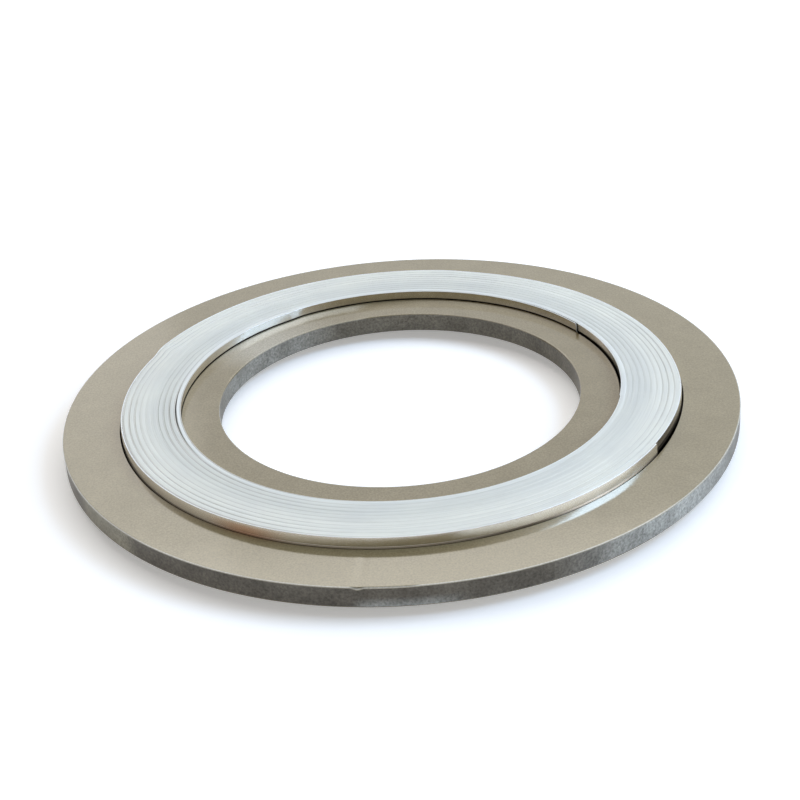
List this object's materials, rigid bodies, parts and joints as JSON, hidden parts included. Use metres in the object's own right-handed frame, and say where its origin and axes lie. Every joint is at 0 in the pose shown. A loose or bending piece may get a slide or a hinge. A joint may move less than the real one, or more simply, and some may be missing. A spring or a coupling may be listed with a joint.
{
  "type": "spiral wound gasket",
  "caption": "Spiral wound flange gasket: a V-section metal strip wound with a white filler strip, between an outer centring ring and an inner ring.",
  "frame": {"origin": "centre of the gasket on the plane of its lower sealing face", "axes": "+Z along the gasket's axis, towards the upper sealing face. +X and +Y lie in the plane of the face. The strip's outer end is at azimuth 330 degrees from +X"},
  "size_m": [0.1046, 0.1046, 0.0064],
  "materials": {
    "outer_ring_steel": "dull rolled face that reads khaki, blasted rim",
    "inner_ring_steel": "dull rolled face that reads khaki, blasted bore",
    "winding_steel": "bright cold rolled strip",
    "filler": "soft white fluoropolymer, pressed flush with the strip"
  },
  "bodies": {
    "root": {"outer_ring": "outer_ring_steel", "inner_ring": "inner_ring_steel", "winding_strip": "winding_steel", "filler_strip": "filler"}
  },
  "joints": []
}
